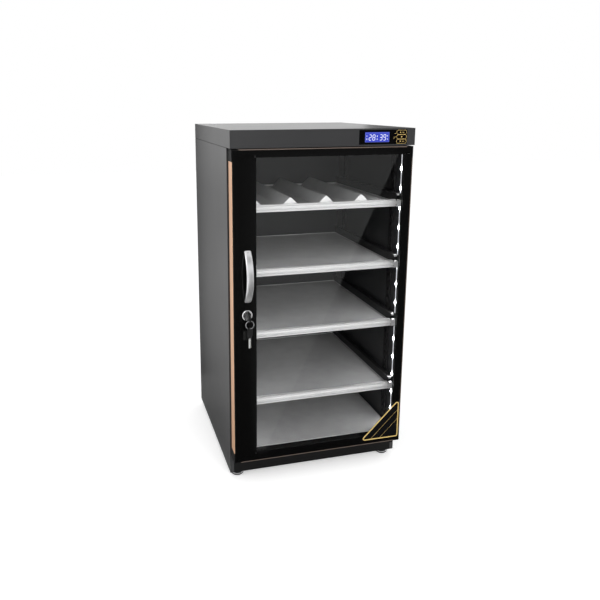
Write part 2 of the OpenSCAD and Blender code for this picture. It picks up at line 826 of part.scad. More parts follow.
// Grey mats that lie in the trays
mat_gap = 0.8;
mat_w = tray_w - 2 * (sheet_t + mat_gap);
mat_d = tray_d - 2 * (sheet_t + mat_gap);
module tray_mat(k) {
    color(mat_grey) placed()
        translate([tray_x + sheet_t + mat_gap, tray_body_y + sheet_t + mat_gap, tray_z(k) + sheet_t])
            cube([mat_w, mat_d, mat_t]);
}
module tray_mat_2() { tray_mat(2); }
module tray_mat_3() { tray_mat(3); }
module tray_mat_4() { tray_mat(4); }

// Foam of the top tray: ridges with flat troughs between them
foam_base_t = 8;
wave_count = floor((mat_w - wave_start) / wave_step) + 1;
module foam_side() {
    foam_top = foam_base_t + wave_h;
    waves = [for (k = [0 : wave_count - 1]) each [
        [wave_start + k * wave_step - wave_h, foam_base_t],
        [wave_start + k * wave_step, foam_top],
        [wave_start + k * wave_step + wave_h, foam_base_t]]];
    polygon(concat([[0, 0], [0, foam_base_t]], waves, [[mat_w, foam_base_t], [mat_w, 0]]));
}
module foam_cradle() {
    color(mat_grey) placed()
        translate([tray_x + sheet_t + mat_gap, tray_body_y + sheet_t + mat_gap + mat_d,
            tray_z(1) + sheet_t])
            rotate([90, 0, 0]) linear_extrude(mat_d) foam_side();
}

// Slotted uprights on the side walls
upright_t = 3.8;
upright_w = 20;
upright_slot_w = 5;
upright_slot_h = 8;
upright_low = floor_z;
upright_top = header_z;
upright_places = [tray_body_y + tray_d * 0.08, tray_body_y + tray_d * 0.88];
slot_count = floor((upright_top - upright_low) / slot_step) - 1;
module upright_face() {
    difference() {
        square([upright_w, upright_top - upright_low]);
        for (k = [1 : slot_count])
            translate([(upright_w - upright_slot_w) / 2, slot_start + k * slot_step])
                square([upright_slot_w, upright_slot_h]);
    }
}
module wall_uprights() {
    color(steel_black) placed() for (side = [0, 1], y = upright_places)
        translate([side == 0 ? sheet_t : case_w - sheet_t - upright_t, y, upright_low])
            rotate([90, 0, 90]) linear_extrude(upright_t) upright_face();
}

// Channel rails that the trays slide in, seen from the front at the right wall
rail_t = 1.5;
rail_h = 30;
rail_end_d = 12;
rail_out = case_w - sheet_t - upright_t;
rail_in_x = tray_right + rest_gap;
rail_lip_w = 8;
rail_set = 2;
rail_d = tray_d + trim_d - 2 * rail_set;
module rail_front() {
    union() {
        translate([rail_out - rail_t, -rail_t - rest_gap]) square([rail_t, rail_h + rail_t]);
        translate([rail_in_x - rail_lip_w, -rail_t - rest_gap])
            square([rail_out - rail_in_x + rail_lip_w, rail_t]);
        translate([rail_in_x, rail_h - rail_t - rest_gap]) square([rail_out - rail_in_x, rail_t]);
        translate([rail_in_x, -rail_t - rest_gap]) square([rail_t, rail_h + rail_t]);
    }
}
module rail(z) {
    translate([0, tray_y + rail_set, z]) union() {
        translate([0, rail_d, 0]) rotate([90, 0, 0]) linear_extrude(rail_d) rail_front();
        translate([rail_in_x, 0, -rail_t - rest_gap])
            cube([rail_out - rail_in_x, rail_end_d, trim_h]);
    }
}
module shelf_rails() {
    color([0.2, 0.2, 0.21]) placed() for (k = [1 : 4]) {
        rail(tray_z(k));
        translate([case_w, 0, 0]) mirror([1, 0, 0]) rail(tray_z(k));
    }
}

// Light strips behind the front corners, between the wall and the rails
led_t = 2.6;
led_w = 8;
led_y = 46;
led_low = floor_z + 6;
module led_strips() {
    color([0.9, 0.93, 1.0]) placed() for (x = [sheet_t, case_w - sheet_t - led_t])
        translate([x, led_y, led_low]) cube([led_t, led_w, header_z - led_low]);
}

// Grey mat on the inner floor, up to the flanges beside the door
floor_mat_y = case_y + sheet_t + rest_gap;
module floor_mat() {
    color(mat_grey) placed()
        translate([sheet_t + upright_t + mat_gap, floor_mat_y, floor_z])
            cube([inner_w - 2 * (upright_t + mat_gap), back_y - floor_mat_y - unit_wall_t - mat_gap, mat_t]);
}

// Drying unit: slotted grille inside, core in the wall, louvred case outside
grille_slot_h = 3;
grille_step = 7;
grille_lap = 6;
module slot_rows(x_from, y_from, z_from, width, height, depth) {
    rows = floor(height / grille_step);
    for (k = [0 : rows - 1])
        translate([x_from, y_from, z_from + k * grille_step + (height - rows * grille_step) / 2])
            cube([width, depth, grille_slot_h]);
}
module inner_grille() {
    color(frame_black) placed() difference() {
        translate([unit_x + unit_lap - grille_lap, back_y - unit_wall_t, unit_z + unit_lap - grille_lap])
            cube([unit_hole_w + 2 * grille_lap, unit_wall_t, unit_hole_h + 2 * grille_lap]);
        slot_rows(unit_x + unit_lap, back_y - unit_wall_t - cut, unit_z + unit_lap,
            unit_hole_w, unit_hole_h, unit_wall_t + 2 * cut);
    }
}

fin_t = 2;
fin_step = 7;
core_in = 4;
module drying_core() {
    color([0.7, 0.7, 0.72]) placed() difference() {
        translate([unit_x + unit_lap + core_in, back_y, unit_z + unit_lap + core_in])
            cube([unit_hole_w - 2 * core_in, unit_d + sheet_t - unit_wall_t, unit_hole_h - 2 * core_in]);
        for (k = [0 : floor((unit_hole_w - 2 * core_in) / fin_step) - 1])
            translate([unit_x + unit_lap + core_in + fin_t + k * fin_step, back_y - cut, unit_z])
                cube([fin_step - fin_t, unit_d / 2, unit_h]);
    }
}

module rear_unit_case() {
    color(frame_black) placed() difference() {
        translate([unit_x, case_d, unit_z]) cube([unit_w, unit_d, unit_h]);
        translate([unit_x + unit_wall_t, case_d - cut, unit_z + unit_wall_t])
            cube([unit_w - 2 * unit_wall_t, unit_d - unit_wall_t + cut, unit_h - 2 * unit_wall_t]);
        slot_rows(unit_x + unit_lap, case_d + unit_d - unit_wall_t - cut, unit_z + unit_lap,
            unit_hole_w, unit_hole_h, unit_wall_t + 2 * cut);
    }
}

// Round power socket in the back panel, beside the drying unit
inlet_r = 7;
inlet_bore_r = 3;
inlet_h = 11;
inlet_x = unit_x + unit_w + 30;
inlet_pin_r = 1;
module power_inlet() {
    color(frame_black) placed() translate([inlet_x, case_d, unit_z + unit_h / 2])
        rotate([-90, 0, 0]) union() {
            difference() {
                cylinder(h = inlet_h, r = inlet_r);
                translate([0, 0, inlet_h / 4]) cylinder(h = inlet_h, r = inlet_bore_r);
            }
            cylinder(h = inlet_h * 0.9, r = inlet_pin_r);
        }
}

side_panel_left();
side_panel_right();
back_panel();
ceiling_panel();
floor_panel();
base_plinth();
bottom_plate();
top_cap();
control_bezel();
lcd_module();
control_board();
hinge_pin_top();
hinge_bracket_bottom();
wall_uprights();
shelf_rails();
led_strips();
inner_grille();
rear_unit_case();
drying_core();
power_inlet();
floor_mat();
door_seal();
foot_front_left();
foot_front_right();
foot_back_left();
foot_back_right();
door_stile_lock();
door_stile_hinge();
door_rail_top();
door_rail_bottom();
door_glass();
door_edge_strips();
door_corner_caps();
hinge_bushes();
door_handle();
handle_screws();
lock_body();
lock_nut();
corner_plate();
lock_plug();
lock_cam();
lock_key();
key_ring();
spare_key();
button_up();
button_down();
button_set();
tray_1();
tray_2();
tray_3();
tray_4();
tray_trim_1();
tray_trim_2();
tray_trim_3();
tray_trim_4();
foam_cradle();
tray_mat_2();
tray_mat_3();
tray_mat_4();
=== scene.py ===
import math

import bmesh
import bpy
import numpy as np
from mathutils import Euler, Matrix, Vector


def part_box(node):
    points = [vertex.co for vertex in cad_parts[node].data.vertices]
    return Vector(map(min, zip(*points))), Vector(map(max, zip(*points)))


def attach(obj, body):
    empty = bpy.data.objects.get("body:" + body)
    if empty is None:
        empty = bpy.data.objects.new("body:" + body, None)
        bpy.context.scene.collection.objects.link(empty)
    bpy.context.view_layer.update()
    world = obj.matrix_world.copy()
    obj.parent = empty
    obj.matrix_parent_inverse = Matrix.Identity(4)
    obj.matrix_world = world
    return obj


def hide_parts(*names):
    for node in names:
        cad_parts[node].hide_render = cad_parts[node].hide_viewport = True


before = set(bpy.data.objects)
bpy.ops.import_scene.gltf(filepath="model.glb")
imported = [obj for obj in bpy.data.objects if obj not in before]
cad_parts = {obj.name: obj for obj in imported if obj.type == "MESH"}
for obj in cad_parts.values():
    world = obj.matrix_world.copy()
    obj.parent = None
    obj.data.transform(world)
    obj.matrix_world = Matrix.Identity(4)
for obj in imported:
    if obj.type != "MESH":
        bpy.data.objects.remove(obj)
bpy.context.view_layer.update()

# Camera: stands to the left of the cabinet and just above its top, turned a little down and to
# the right. Places in this file are millimetres from the case's left side (x), the cap's front
# (y) and the underside of the base (z); at() turns them into the frame's metres.
IMAGE_SIDE = 600
CENTRE_PX = (260.0, 245.0)
FOCAL_PX = 632.8
SENSOR_MM = 36.0
CAMERA_YAW, CAMERA_PITCH, CAMERA_ROLL = (math.radians(angle) for angle in (14.89, 12.59, -0.09))
CAMERA_MM = np.array([-284.0, -1315.0, 874.0])
CORNER = np.array([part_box("top_cap")[0][0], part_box("top_cap")[0][1],
                   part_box("side_panel_left")[0][2]])


def at(points):
    """Frame metres of cabinet millimetres: the base corner plus a thousandth of each length."""
    return CORNER + np.asarray(points, float) / 1000


def new_object(name, data):
    """An object that shows this data, linked into the scene."""
    thing = bpy.data.objects.new(name, data)
    bpy.context.scene.collection.objects.link(thing)
    return thing


camera_data = bpy.data.cameras.new("camera")
camera_data.sensor_width = SENSOR_MM
camera_data.lens = FOCAL_PX / IMAGE_SIDE * SENSOR_MM
camera_data.shift_x = (IMAGE_SIDE / 2 - CENTRE_PX[0]) / IMAGE_SIDE
camera_data.shift_y = (CENTRE_PX[1] - IMAGE_SIDE / 2) / IMAGE_SIDE
camera = new_object("camera", camera_data)
camera_turn = Euler((math.pi / 2 - CAMERA_PITCH, 0, -CAMERA_YAW)).to_matrix()
camera.matrix_world = (camera_turn @ Matrix.Rotation(CAMERA_ROLL, 3, "Z")).to_4x4()
camera.location = at(CAMERA_MM)
bpy.context.scene.camera = camera


# Steel case: the cap, two side walls and the back, folded from 1.2 mm sheet and welded. They have
# a fine-texture powder coat, charcoal outside; the cap's seam shows as a thin line on the side.
def link(tree, out_socket, in_socket):
    """Joins two shader sockets."""
    tree.links.new(out_socket, in_socket)


def set_inputs(node, values):
    """Fills a node's input sockets from a table of values by name or number."""
    for socket, value in values.items():
        node.inputs[socket].default_value = value


def add_node(tree, kind, values=None, **settings):
    """A new shader node: settings are its own properties, and values fill its input sockets."""
    node = tree.nodes.new("ShaderNode" + kind)
    for name, setting in settings.items():
        setattr(node, name, setting)
    set_inputs(node, values or {})
    return node


def object_place(tree):
    """The socket that gives the Object coordinates."""
    return add_node(tree, "TexCoord").outputs["Object"]


def node_group(name, inputs):
    """An empty shader group with these number inputs, and the outputs Height and Mottle."""
    group = bpy.data.node_groups.new(name, "ShaderNodeTree")
    for label, default in inputs.items():
        socket = group.interface.new_socket(label, in_out="INPUT", socket_type="NodeSocketFloat")
        socket.default_value = default
    for label in ("Height", "Mottle"):
        group.interface.new_socket(label, in_out="OUTPUT", socket_type="NodeSocketFloat")
    return group, group.nodes.new("NodeGroupInput"), group.nodes.new("NodeGroupOutput")


def coat_grain_group():
    """Height of a sprayed coat's fine cells, and a slow mottle from 0 to 1, from two noises."""
    group, ins, outs = node_group("coat_grain", {"Cell Scale": 1400.0, "Wave Scale": 9.0})
    place = object_place(group)
    for scale, detail, result in (("Cell Scale", 2.0, "Height"), ("Wave Scale", 3.0, "Mottle")):
        noise = add_node(group, "TexNoise", {"Detail": detail})
        link(group, place, noise.inputs["Vector"])
        link(group, ins.outputs[scale], noise.inputs["Scale"])
        link(group, noise.outputs["Fac"], outs.inputs[result])
    return group


COAT_GRAIN = coat_grain_group()


def new_material(name):
    """A new material, with its node tree and its shader."""
    material = bpy.data.materials.new(name)
    material.use_nodes = True
    return material, material.node_tree, material.node_tree.nodes["Principled BSDF"]


def finish_material(name, colour, roughness, metallic=0.0, cell_scale=1400.0, bump=0.1,
                    mottle=0.08, specular=0.5, group=None, depth=0.0002):
    """A finish whose colour and gloss vary by mottle, with the group's height as its relief."""
    material, tree, shader = new_material(name)
    set_inputs(shader, {"Metallic": metallic, "Specular IOR Level": specular})
    grain = add_node(tree, "Group", {"Cell Scale": cell_scale}, node_tree=group or COAT_GRAIN)
    less, more = 1 - mottle, 1 + mottle
    tint = add_node(tree, "Mix", {"A": [c * less for c in colour] + [1],
                                  "B": [min(c * more, 1) for c in colour] + [1]}, data_type="RGBA")
    gloss = add_node(tree, "MapRange", {"To Min": roughness * less, "To Max": roughness * more})
    relief = add_node(tree, "Bump", {"Strength": bump, "Distance": depth})
    link(tree, grain.outputs["Mottle"], tint.inputs["Factor"])
    link(tree, tint.outputs["Result"], shader.inputs["Base Color"])
    link(tree, grain.outputs["Mottle"], gloss.inputs["Value"])
    link(tree, gloss.outputs["Result"], shader.inputs["Roughness"])
    link(tree, grain.outputs["Height"], relief.inputs["Height"])
    link(tree, relief.outputs["Normal"], shader.inputs["Normal"])
    return material


def paint(nodes, material):
    """Gives CAD nodes this material all over."""
    for name in nodes:
        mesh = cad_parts[name].data
        mesh.materials.clear()
        mesh.materials.append(material)


CHARCOAL = (0.018, 0.018, 0.019)
case_coat = finish_material("case_powder_coat", CHARCOAL, 0.33, bump=0.3, specular=0.6)
paint(["side_panel_left", "side_panel_right", "top_cap", "back_panel"], case_coat)


# Inner shell: ceiling, floor, and the plinth under the door, black powder coat inside.
# The plinth's front is set back a little, and the door closes over it.
def grey(level):
    """A neutral colour."""
    return (level, level, level)


COAT_BLACK = grey(0.0035)
inner_coat = finish_material("inner_powder_coat", COAT_BLACK, 0.5, bump=0.3, specular=0.15)
base_coat = finish_material("base_powder_coat", COAT_BLACK, 0.35, bump=0.25, specular=0.15)
paint(["ceiling_panel", "floor_panel", "bottom_plate"], inner_coat)
paint(["base_plinth"], base_coat)


# Levelling feet: a black moulded pad under a hexagon and stud that screw into a threaded boss of
# the base. A thin pale band round the pad's top is a painted highlight.
def axis_place(tree, axis):
    """The socket of one Object coordinate: X, Y or Z."""
    split = add_node(tree, "SeparateXYZ")
    link(tree, object_place(tree), split.inputs["Vector"])
    return split.outputs[axis]


def math_node(tree, operation, *operands):
    """The result of a Math node; each operand is a number, or a socket to link from."""
    node = add_node(tree, "Math", operation=operation)
    for socket, operand in zip(node.inputs, operands):
        if isinstance(operand, bpy.types.NodeSocket):
            link(tree, operand, socket)
        else:
            socket.default_value = operand
    return node.outputs[0]


def second_finish(material, axis, span, colour, roughness, metallic):
    """Mixes a second finish in where the Object coordinate on axis lies in the span (mm)."""
    tree = material.node_tree
    shader = tree.nodes["Principled BSDF"]
    place = axis_place(tree, axis)
    low, high = (at((value,) * 3)["XYZ".index(axis)] for value in span)
    inside = math_node(tree, "MULTIPLY", math_node(tree, "GREATER_THAN", place, low),
                       math_node(tree, "LESS_THAN", place, high))
    for name, kind, value in (("Base Color", "RGBA", (*colour, 1)),
                              ("Roughness", "FLOAT", roughness), ("Metallic", "FLOAT", metallic)):
        socket = shader.inputs[name]
        mix = add_node(tree, "Mix", {"B": value}, data_type=kind)
        if socket.is_linked:
            link(tree, socket.links[0].from_socket, mix.inputs["A"])
        else:
            mix.inputs["A"].default_value = socket.default_value
        link(tree, inside, mix.inputs["Factor"])
        link(tree, mix.outputs["Result"], socket)


# The pale band is a painted highlight on the black pad, not a plated part of it.
FOOT_HIGHLIGHT_BAND = (-10.7, -9.8)
foot_finish = finish_material("foot_moulding_and_painted_highlight", grey(0.012), 0.45, bump=0.15)
second_finish(foot_finish, "Z", FOOT_HIGHLIGHT_BAND, (0.88, 0.88, 0.89), roughness=0.12, metallic=0.25)
paint(["foot_front_left", "foot_front_right", "foot_back_left", "foot_back_right"], foot_finish)

# Drying unit: a black louvred box behind the case with the mains socket, and inside an open
# grille in front of the finned aluminium core.
unit_black = finish_material("unit_moulding", grey(0.012), 0.45, bump=0.25)
core_alu = finish_material("plain_aluminium", (0.5, 0.5, 0.51), 0.35, metallic=1.0)
paint(["inner_grille", "rear_unit_case", "power_inlet"], unit_black)
paint(["drying_core"], core_alu)

# Slotted uprights and shelf rails: black steel strips on the side walls, and the black rails that
# the trays slide on. Each rail's front end is closed by a pale moulded block with a clip above it.
upright_black = finish_material("upright_black", grey(0.006), 0.45, bump=0.2, specular=0.3)
rail_black = finish_material("rail_black", grey(0.010), 0.4, bump=0.15, specular=0.3)
block_pale = finish_material("rail_block_moulding", (0.80, 0.80, 0.81), 0.3, bump=0.15)
paint(["wall_uprights"], upright_black)
paint(["shelf_rails"], rail_black)


def grid_faces(nu, nv, loop_u=False, loop_v=False):
    """Quads over points numbered u * nv + v; a looped direction joins its last row to its first."""
    u = np.arange(nu if loop_u else nu - 1)
    v = np.arange(nv if loop_v else nv - 1)
    uu, vv = (a.ravel() for a in np.meshgrid(u, v, indexing="ij"))
    u2, v2 = (uu + 1) % nu, (vv + 1) % nv
    return np.column_stack([uu * nv + vv, u2 * nv + vv, u2 * nv + v2, uu * nv + v2])


def tube_faces(rings, around):
    """Quads round a tube of rings, and one face over each end."""
    last = (rings - 1) * around
    return grid_faces(rings, around, loop_v=True).tolist() + [
        list(range(around)), list(range(last, last + around))]


SHARP_ANGLE = math.radians(35)


def new_piece(name, points, faces, material, body, slot):
    """A closed mesh from points in cabinet millimetres, faces turned outwards, riding on a body."""
    mesh = bpy.data.meshes.new(name)
    mesh.from_pydata(at(points).tolist(), [], [list(face) for face in faces])
    shell = bmesh.new()
    shell.from_mesh(mesh)
    bmesh.ops.recalc_face_normals(shell, faces=shell.faces)
    shell.to_mesh(mesh)
    shell.free()
    mesh.polygons.foreach_set("use_smooth", np.ones(len(mesh.polygons), bool))
    mesh.set_sharp_from_angle(angle=SHARP_ANGLE)
    mesh.materials.append(material)
    piece = new_object(name, mesh)
    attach(piece, body)
    return piece


def rounded_block(low, high, radius, steps=5):
    """A block carried along x whose (y, z) corners are quarter circles, with bevelled ends."""
    centre = (np.array(low[1:]) + high[1:]) / 2
    half = (np.array(high[1:]) - low[1:]) / 2
    bevel = radius / 2
    rings = []
    for x, shrink in ((low[0], bevel), (low[0] + bevel, 0), (high[0] - bevel, 0), (high[0], bevel)):
        ring = []
        for quarter, signs in enumerate(((1, 1), (-1, 1), (-1, -1), (1, -1))):
            t = np.radians(np.linspace(0, 90, steps)) + quarter * math.pi / 2
            ring.append(centre + np.array(signs) * (half - radius)
                        + (radius - shrink) * np.column_stack([np.cos(t), np.sin(t)]))
        ring = np.concatenate(ring)
        rings.append(np.column_stack([np.full(len(ring), x), ring]))
    return np.concatenate(rings), tube_faces(len(rings), len(rings[0]))


def joined(parts):
    """Several point and face lists as one: each part's numbers start after the points before it."""
    points, faces, start = [], [], 0
    for part_points, part_faces in parts:
        points.append(part_points)
        faces += [[i + start for i in face] for face in part_faces]
        start += len(part_points)
    return np.concatenate(points), faces


def box_mm(node):
    """The low and high corner of a node's box, in cabinet millimetres."""
    return [(np.array(corner) - CORNER) * 1000 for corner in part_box(node)]


# Low corner, high corner and rounding on the right-hand side; z counts from the tray bar's foot.
RAIL_BLOCK = ((412.9, 42.6, -2.0), (425.0, 55.2, 14.4), 1.6)
RAIL_CLIP = ((413.0, 42.6, 25.6), (420.5, 49.0, 30.2), 1.2)
CASE_WIDTH = 430.0
blocks = []
for tray_number in (1, 2, 3, 4):
    bar_foot = [0, 0, box_mm("tray_trim_%d" % tray_number)[0][2]]
    for low, high, radius in (RAIL_BLOCK, RAIL_CLIP):
        low, high = np.array(low) + bar_foot, np.array(high) + bar_foot
        blocks.append(rounded_block(low, high, radius))
        blocks.append(rounded_block([CASE_WIDTH - high[0], *low[1:]],
                                    [CASE_WIDTH - low[0], *high[1:]], radius))
new_piece("rail_end_blocks", *joined(blocks), block_pale, "cabinet", "led_cover")


# Light strips: a channel on each side wall behind the front corner, with a thin lit ridge down its
# middle and a clear domed lens over each diode.
def lit_material(name, colour, strength, dark, cell_scale=60.0):
    """A surface lit from behind: its light varies between colour and dark with a slow mottle."""
    material = finish_material(name, [0.1 * c for c in colour], 0.3, bump=0.02)
    tree = material.node_tree
    shader = tree.nodes["Principled BSDF"]
    noise = add_node(tree, "TexNoise", {"Scale": cell_scale})
    light = add_node(tree, "Mix", {"A": (*dark, 1), "B": (*colour, 1)}, data_type="RGBA")
    link(tree, object_place(tree), noise.inputs["Vector"])
    link(tree, noise.outputs["Fac"], light.inputs["Factor"])
    link(tree, light.outputs["Result"], shader.inputs["Emission Color"])
    set_inputs(shader, {"Emission Strength": strength})
    return material


LED_TOP, LED_PITCH, LED_COUNT = 724.0, 47.4, 15
LED_Y = 50.0


def diode_falloff(material, reach):
    """Bright at each diode and dark at reach mm: pingpong is the distance to the nearest one."""
    tree = material.node_tree
    from_top = math_node(tree, "SUBTRACT", axis_place(tree, "Z"), at((0, 0, LED_TOP))[2])
    nearest = math_node(tree, "PINGPONG", from_top, LED_PITCH / 2000)
    fall = add_node(tree, "MapRange", {"From Min": reach / 1000, "From Max": 0.0},
                    interpolation_type="SMOOTHERSTEP")
    link(tree, nearest, fall.inputs["Value"])
    light = tree.nodes["Principled BSDF"].inputs["Emission Color"].links[0].from_node
    link(tree, fall.outputs["Result"], light.inputs["Factor"])


def full_turn(count):
    """Angles spread evenly over a full turn."""
    return np.linspace(0, 2 * math.pi, count, endpoint=False)


def point_grid(x, y, z):
    """The points of a grid, row by row, from three arrays that share or spread to its shape."""
    return np.stack(np.broadcast_arrays(x, y, z), axis=-1).reshape(-1, 3)


def lens_dome(toward, half_y, half_z, rise, rings=5, around=14):
    """Half an ellipsoid on a wall: at angle t it stands off by rise * sin t, and its ring has
    shrunk by cos t."""
    t = np.radians(np.linspace(0, 84, rings))[:, None]
    a = full_turn(around)
    points = point_grid(toward * rise * np.sin(t), half_y * np.cos(t) * np.cos(a),
                        half_z * np.cos(t) * np.sin(a))
    return points, tube_faces(rings, around)


RIDGE_ENDS, RIDGE_HALF, RIDGE_RISE = np.array([[57.0], [766.5]]), 1.1, 0.8
channel_grey = finish_material("light_channel", (0.10, 0.10, 0.105), 0.4, bump=0.1)
ridge_light = lit_material("light_ridge", grey(1.0), strength=5.0, dark=(0.19, 0.195, 0.205))
diode_falloff(ridge_light, reach=15.0)
lens_light = lit_material("diode_lens", grey(1.0), strength=14.0, dark=(0.9, 0.92, 1.0))
paint(["led_strips"], channel_grey)
led_heights = LED_TOP - LED_PITCH * np.arange(LED_COUNT)
half_turn = np.linspace(0, math.pi, 9)
for side, wall_x, toward in (("left", 3.7, 1), ("right", 426.3, -1)):
    dome, dome_faces = lens_dome(toward, half_y=3.0, half_z=5.2, rise=2.8)
    domes = [(dome + [wall_x, LED_Y, height], dome_faces) for height in led_heights]
    new_piece("diode_lenses_" + side, *joined(domes), lens_light, "cabinet", "led_cover")
    ridge = point_grid(wall_x + toward * RIDGE_RISE * np.sin(half_turn),
                       LED_Y + RIDGE_HALF * np.cos(half_turn), RIDGE_ENDS)
    new_piece("light_ridge_" + side, ridge, tube_faces(2, len(half_turn)), ridge_light, "cabinet",
              "led_cover")

# Sliding trays: sheet steel folded up into low walls round the mat, with a grey powder coat.
# They run on the rails at both sides.
tray_coat = finish_material("tray_coat", grey(0.45), 0.4, bump=0.2)
paint(["tray_1", "tray_2", "tray_3", "tray_4"], tray_coat)


# Tray bars: a satin aluminium extrusion along each tray's front, with a thin upper lip, a round
# nose between two grooves and a lower lip, screwed on from behind.
def brushed_group():
    """Fine lines along x: one noise drawn out along x gives both the height and the mottle."""
    group, ins, outs = node_group("brushed_lines", {"Cell Scale": 900.0})
    squeeze = add_node(group, "VectorMath", {1: (0.02, 1.0, 1.0)}, operation="MULTIPLY")
    lines = add_node(group, "TexNoise", {"Detail": 3.0})
    link(group, object_place(group), squeeze.inputs[0])
    link(group, squeeze.outputs["Vector"], lines.inputs["Vector"])
    link(group, ins.outputs["Cell Scale"], lines.inputs["Scale"])
    for result in ("Height", "Mottle"):
        link(group, lines.outputs["Fac"], outs.inputs[result])
    return group


BRUSHED = brushed_group()
bar_satin = finish_material("bar_satin_aluminium", grey(0.88), 0.28, metallic=0.35, bump=0.015,
                            mottle=0.01, group=BRUSHED)
paint(["tray_trim_1", "tray_trim_2", "tray_trim_3", "tray_trim_4"], bar_satin)


# Foam mats and cradle: grey open-cell foam, knife cut. Flat mats line three trays and the floor;
# the top tray's cradle has four rounded ridges that keep round things apart.
def foam_group():
    """Open pores: height falls towards each Voronoi cell's middle; a slow noise is the mottle."""
    group, ins, outs = node_group("foam_pores", {"Cell Scale": 700.0, "Wave Scale": 30.0})
    place = object_place(group)
    pores = add_node(group, "TexVoronoi")
    waves = add_node(group, "TexNoise", {"Detail": 5.0})
    for texture, scale in ((pores, "Cell Scale"), (waves, "Wave Scale")):
        link(group, place, texture.inputs["Vector"])
        link(group, ins.outputs[scale], texture.inputs["Scale"])
    link(group, pores.outputs["Distance"], outs.inputs["Height"])
    link(group, waves.outputs["Fac"], outs.inputs["Mottle"])
    return group


FOAM_PORES = foam_group()


def edge_lines(low, high, count, radius):
    """Grid lines from low to high that crowd in a rounded edge, at radius * (1 - cosine)."""
    bend = radius * (1 - np.cos(np.radians([0, 25, 45, 65])))
    middle = np.linspace(low + radius, high - radius, count)
    return np.concatenate([low + bend, middle, (high - bend)[::-1]])


def slab(x_lines, y_lines, low, top):
    """A closed slab over a grid: an underside at low, upper heights top[x, y], and a wall."""
    nx, ny = top.shape
    xx, yy = np.meshgrid(x_lines, y_lines, indexing="ij")
    quads = grid_faces(nx, ny)
    number = np.arange(nx * ny).reshape(nx, ny)
    rim = np.concatenate([number[:, 0], number[-1, 1:], number[-2::-1, -1], number[0, -2:0:-1]])
    after = np.roll(rim, -1)
    wall = np.column_stack([rim, after, after + nx * ny, rim + nx * ny])
    return (np.concatenate([point_grid(xx, yy, top), point_grid(xx, yy, low)]),
            np.concatenate([quads, quads[:, ::-1] + nx * ny, wall]))


HOLLOW, HOLLOW_X, HOLLOW_Y, HOLLOW_SLANT = 0.35, 31.0, 43.0, 90.0
PEAK_SOFTNESS = 0.01


def foam_top(x_lines, y_lines, height, radius, ridges):
    """Foam's upper face: flat height plus ridges, slow hollows, and a quarter-round at the edge."""
    xx, yy = np.meshgrid(x_lines, y_lines, indexing="ij")
    waves = np.sin(xx / HOLLOW_X) * np.cos(yy / HOLLOW_Y + xx / HOLLOW_SLANT)
    top = height - HOLLOW * (1 + waves)
    for middle, half, rise in ridges:
        slope = np.sqrt(((xx - middle) / half) ** 2 + PEAK_SOFTNESS)
        top = top + rise * np.clip(1.0 - slope, 0, None)
    edge = np.minimum(np.minimum(xx - x_lines[0], x_lines[-1] - xx),
                      np.minimum(yy - y_lines[0], y_lines[-1] - yy))
    inside = np.clip(radius - edge, 0, radius)
    return top - (radius - np.sqrt(radius ** 2 - inside ** 2))


mat_foam = finish_material("grey_foam", grey(0.385), 0.92, cell_scale=800.0, bump=0.6,
                           mottle=0.14, specular=0.2, group=FOAM_PORES, depth=0.0006)
cradle_foam = finish_material("cradle_foam", grey(0.40), 0.92, cell_scale=700.0, bump=0.6,
                              mottle=0.12, specular=0.2, group=FOAM_PORES, depth=0.0006)
# The paler foam goes only on the sides that face the front: painted light on the lit front of each
# pad.
lit_front_foam = finish_material("foam_front_painted_light", grey(0.85), 0.9, cell_scale=900.0, bump=0.4,
                           mottle=0.08, specular=0.2, group=FOAM_PORES, depth=0.0005)
FOAM_INSET, CRADLE_FLAT, LIT_FRONT_FACING = 0.3, 8.0, -0.8
CRADLE_RIDGES = [(65.0 + 87.4 * k, 24.0, 24.0) for k in range(4)]
FOAM_PADS = [("tray_mat_2", "mat_pad_2", "tray_2", 2.0, ()),
             ("tray_mat_3", "mat_pad_3", "tray_3", 2.0, ()),
             ("tray_mat_4", "mat_pad_4", "tray_4", 2.0, ()),
             ("floor_mat", "floor_pad", "cabinet", 1.5, ()),
             ("foam_cradle", "cradle_pad", "tray_1", 2.0, CRADLE_RIDGES)]
for node, name, body, radius, ridges in FOAM_PADS:
    low, high = box_mm(node)
    x_lines = edge_lines(low[0] + FOAM_INSET, high[0] - FOAM_INSET,
                         count=140 if ridges else 60, radius=radius)
    y_lines = edge_lines(low[1] + FOAM_INSET, high[1] - FOAM_INSET, count=50, radius=radius)
    flat = low[2] + CRADLE_FLAT if ridges else high[2]
    top = foam_top(x_lines, y_lines, flat, radius, ridges)
    pad = new_piece(name, *slab(x_lines, y_lines, low[2], top),
                    cradle_foam if ridges else mat_foam, body,
                    "cradle_foam" if ridges else "mat_foam")
    pad.data.materials.append(lit_front_foam)
    # Faces whose normal points to the front take the paler foam, as painted light.
    facing = np.empty(len(pad.data.polygons) * 3)
    pad.data.polygons.foreach_get("normal", facing)
    lit_front_faces = facing.reshape(-1, 3)[:, 1] < LIT_FRONT_FACING
    pad.data.polygons.foreach_set("material_index", lit_front_faces.astype(np.int32))
    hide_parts(node)

# Door frame: gloss black rails and stiles, satin black corner mouldings, and rose-coloured anodised
# strips down the outer face of the lock side and as thin lines on the front edges. The one rose
# finish is painted bright on that outer face and dark on the front edges: painted light and painted
# shade.
STRIP_LIT_FACE = (-5.0, 3.6)
frame_gloss = finish_material("door_frame_gloss", grey(0.0022), 0.12, bump=0.02, specular=0.3)
corner_satin = finish_material("corner_moulding", grey(0.004), 0.5, bump=0.15, specular=0.1)
rose_strip = finish_material("rose_strip_lit_and_shaded", (0.10, 0.075, 0.062), 0.34, bump=0.08,
                             mottle=0.05, group=BRUSHED)
